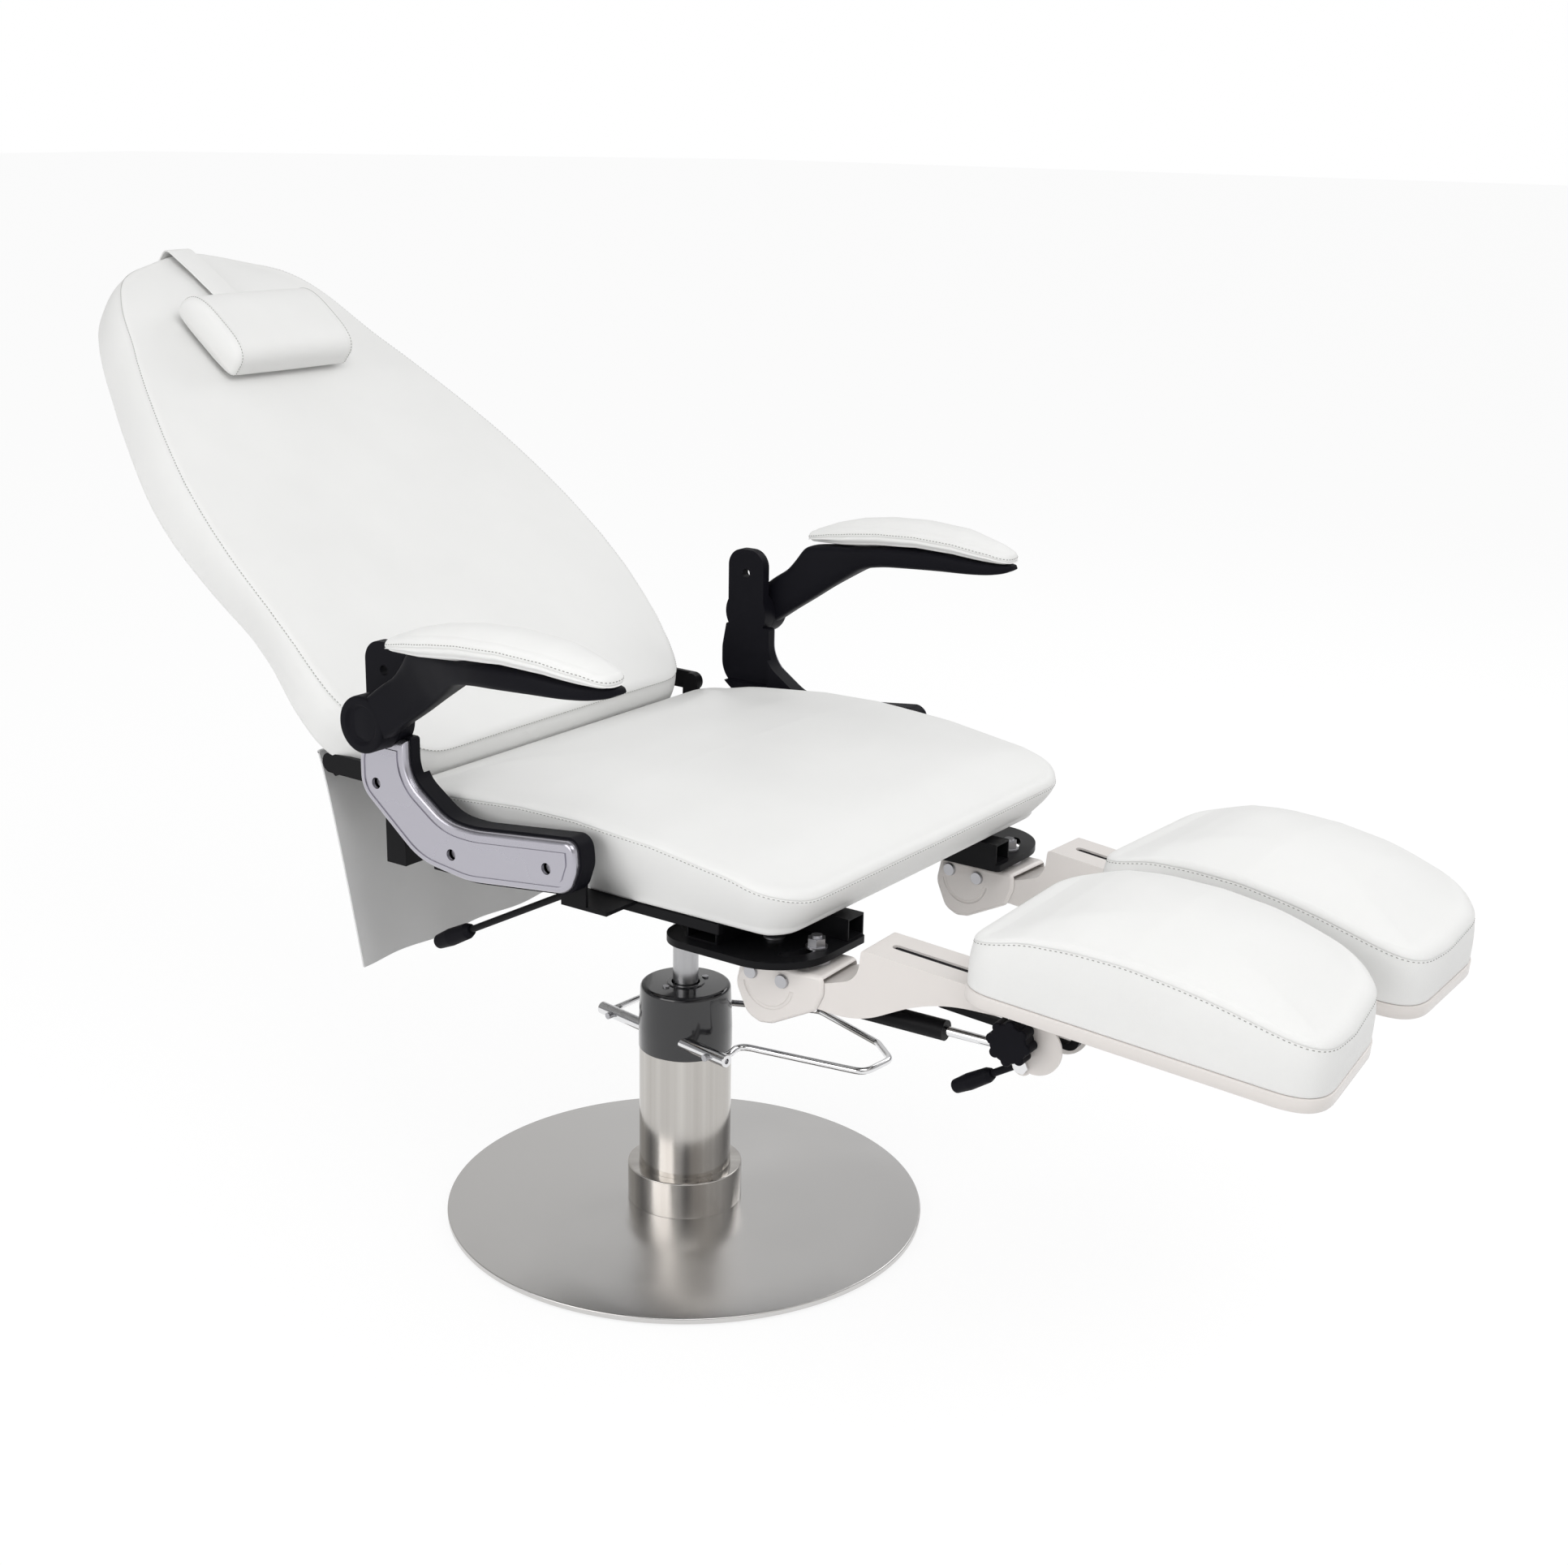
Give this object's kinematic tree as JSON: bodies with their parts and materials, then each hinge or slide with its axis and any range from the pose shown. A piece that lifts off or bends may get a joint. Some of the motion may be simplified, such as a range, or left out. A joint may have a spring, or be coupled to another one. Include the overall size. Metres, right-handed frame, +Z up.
{
  "type": "podiatry chair",
  "caption": "Padded podiatry chair on a round base and pump column, with reclining tapered back, flip-up armrests and split leg supports that swing, tilt and extend",
  "frame": {"origin": "centre of the base's underside, on the floor", "axes": "+X forward towards the leg supports, +Y to the sitter's left, +Z up"},
  "size_m": [1.8189, 0.8624, 1.1458],
  "materials": {
    "stainless": "brushed stainless steel",
    "chrome": "polished chrome",
    "black_steel": "black powder coat",
    "black_plastic": "black moulded plastic",
    "gloss_black": "gloss black plastic",
    "silver_plastic": "silver painted plastic",
    "white_vinyl": "off-white grained vinyl",
    "warm_white": "warm white powder coat",
    "board": "plywood",
    "rubber_black": "black rubber",
    "zinc": "zinc plated steel",
    "dark_iron": "steel ballast disc"
  },
  "bodies": {
    "base": {"floor_ring": "rubber_black", "base_weight": "dark_iron", "base_cover": "stainless", "column_collar": "chrome", "column_sleeve": "chrome", "pump_cylinder": "zinc", "pump_cap": "gloss_black", "cap_screws": "zinc"},
    "pedal": {"pedal_crossbar": "chrome", "pedal_loop": "chrome", "pedal_screws": "zinc"},
    "piston": {"lift_rod": "chrome", "piston_head": "zinc"},
    "seat": {"rod_socket": "zinc", "seat_rails": "black_steel", "cross_tubes": "black_steel", "swivel_plates": "black_steel", "armrest_brackets": "black_steel", "hinge_uprights": "black_steel", "seat_board": "board", "seat_cushion": "white_vinyl", "arm_supports": "black_plastic", "arm_covers": "silver_plastic", "cover_bolts": "zinc", "recline_rod": "zinc"},
    "back": {"back_board": "board", "back_cushion": "white_vinyl", "back_frame": "black_steel", "back_hinge_plates": "black_steel", "head_strap": "white_vinyl"},
    "skirt": {"back_skirt": "white_vinyl"},
    "pillow": {"head_pillow": "white_vinyl"},
    "recline_strut": {"recline_cylinder": "black_steel"},
    "recline_handle": {"recline_lever": "black_steel", "recline_grip": "black_plastic"},
    "right_arm": {"right_arm_shell": "black_plastic", "right_arm_pad": "white_vinyl"},
    "left_arm": {"left_arm_shell": "black_plastic", "left_arm_pad": "white_vinyl"},
    "right_swing": {"right_leg_bracket": "warm_white", "right_leg_bolts": "zinc"},
    "right_leg": {"right_leg_arm": "warm_white", "right_leg_spring_rod": "chrome"},
    "right_strut": {"right_leg_spring_cylinder": "black_steel"},
    "right_rest": {"right_leg_tray": "warm_white", "right_leg_slide_bar": "black_steel", "right_leg_pad": "white_vinyl"},
    "right_knob": {"right_leg_knob": "black_plastic"},
    "right_release": {"right_leg_lever": "black_plastic"},
    "left_swing": {"left_leg_bracket": "warm_white", "left_leg_bolts": "zinc"},
    "left_leg": {"left_leg_arm": "warm_white", "left_leg_spring_rod": "chrome"},
    "left_strut": {"left_leg_spring_cylinder": "black_steel"},
    "left_rest": {"left_leg_tray": "warm_white", "left_leg_slide_bar": "black_steel", "left_leg_pad": "white_vinyl"},
    "left_knob": {"left_leg_knob": "black_plastic"},
    "left_release": {"left_leg_lever": "black_plastic"}
  },
  "joints": [
    {"name": "column_lift", "type": "slide", "parent": "base", "child": "piston", "axis": [0, 0, 1], "range_m": [-0.09, 0.05]},
    {"name": "seat_swivel", "type": "hinge", "parent": "piston", "child": "seat", "pos_m": [0, 0, 0.46], "axis": [0, 0, 1], "continuous": true},
    {"name": "pedal_pump", "type": "hinge", "parent": "base", "child": "pedal", "pos_m": [-0.00634, -0.03747, 0.246], "axis": [0.986, -0.1668, 0], "range_deg": [-10, 4], "stiffness_Nm_per_rad": 20},
    {"name": "back_recline", "type": "hinge", "parent": "seat", "child": "back", "pos_m": [-0.208, 0, 0.597], "axis": [0, 1, 0], "range_deg": [-33, 32]},
    {"name": "recline_strut_slide", "type": "slide", "parent": "seat", "child": "recline_strut", "axis": [-0.9905, 0, 0.1373], "range_m": [-0.062, 0.06]},
    {"name": "skirt_fold", "type": "hinge", "parent": "back", "child": "skirt", "pos_m": [-0.3355, 0, 0.6035], "axis": [0, 1, 0], "range_deg": [-25, 25.5]},
    {"name": "pillow_slide", "type": "slide", "parent": "back", "child": "pillow", "axis": [-0.788, 0, 0.6157], "range_m": [-0.06, 0.02]},
    {"name": "recline_release", "type": "hinge", "parent": "seat", "child": "recline_handle", "pos_m": [0.038, -0.262, 0.5045], "axis": [0, 1, 0], "range_deg": [0, 10], "stiffness_Nm_per_rad": 6, "springref_deg": -5.73},
    {"name": "right_arm_flip", "type": "hinge", "parent": "seat", "child": "right_arm", "pos_m": [-0.156, -0.364, 0.69], "axis": [0, -1, 0], "range_deg": [0, 95]},
    {"name": "left_arm_flip", "type": "hinge", "parent": "seat", "child": "left_arm", "pos_m": [-0.156, 0.364, 0.69], "axis": [0, -1, 0], "range_deg": [0, 95]},
    {"name": "right_leg_swing", "type": "hinge", "parent": "seat", "child": "right_swing", "pos_m": [0.277, -0.207, 0.48], "axis": [0, 0, -1], "range_deg": [0, 35]},
    {"name": "right_leg_tilt", "type": "hinge", "parent": "right_swing", "child": "right_leg", "pos_m": [0.31096, -0.2054, 0.461], "axis": [-0.0471, 0.9989, 0], "range_deg": [0, 40]},
    {"name": "right_strut_slide", "type": "slide", "parent": "right_leg", "child": "right_strut", "axis": [0.9989, 0.0471, -0.0035], "range_m": [-0.001, 0.025]},
    {"name": "right_leg_extend", "type": "slide", "parent": "right_leg", "child": "right_rest", "axis": [0.9958, 0.047, -0.0785], "range_m": [-0.04, 0.1]},
    {"name": "right_knob_turn", "type": "hinge", "parent": "right_leg", "child": "right_knob", "pos_m": [0.58619, -0.22545, 0.46401], "axis": [0.0471, -0.9989, 0], "continuous": true},
    {"name": "right_leg_release", "type": "hinge", "parent": "right_leg", "child": "right_release", "pos_m": [0.59161, -0.21219, 0.43495], "axis": [-0.0471, 0.9989, 0], "range_deg": [0, 12], "stiffness_Nm_per_rad": 2, "springref_deg": -5.73},
    {"name": "left_leg_swing", "type": "hinge", "parent": "seat", "child": "left_swing", "pos_m": [0.277, 0.207, 0.48], "axis": [0, 0, 1], "range_deg": [0, 35]},
    {"name": "left_leg_tilt", "type": "hinge", "parent": "left_swing", "child": "left_leg", "pos_m": [0.31096, 0.2054, 0.461], "axis": [0.0471, 0.9989, 0], "range_deg": [0, 40]},
    {"name": "left_strut_slide", "type": "slide", "parent": "left_leg", "child": "left_strut", "axis": [0.9989, -0.0471, -0.0035], "range_m": [-0.001, 0.025]},
    {"name": "left_leg_extend", "type": "slide", "parent": "left_leg", "child": "left_rest", "axis": [0.9958, -0.047, -0.0785], "range_m": [-0.04, 0.1]},
    {"name": "left_knob_turn", "type": "hinge", "parent": "left_leg", "child": "left_knob", "pos_m": [0.58619, 0.22545, 0.46401], "axis": [0.0471, 0.9989, 0], "continuous": true},
    {"name": "left_leg_release", "type": "hinge", "parent": "left_leg", "child": "left_release", "pos_m": [0.59161, 0.21219, 0.43495], "axis": [0.0471, 0.9989, 0], "range_deg": [0, 12], "stiffness_Nm_per_rad": 2, "springref_deg": -5.73}
  ],
  "couplings": [
    {"joint": "recline_strut_slide", "follows": "back_recline", "m_per_rad": 0.105},
    {"joint": "skirt_fold", "follows": "back_recline", "ratio": -0.75},
    {"joint": "right_strut_slide", "follows": "right_leg_tilt", "m_per_rad": 0.034},
    {"joint": "left_strut_slide", "follows": "left_leg_tilt", "m_per_rad": 0.034}
  ]
}
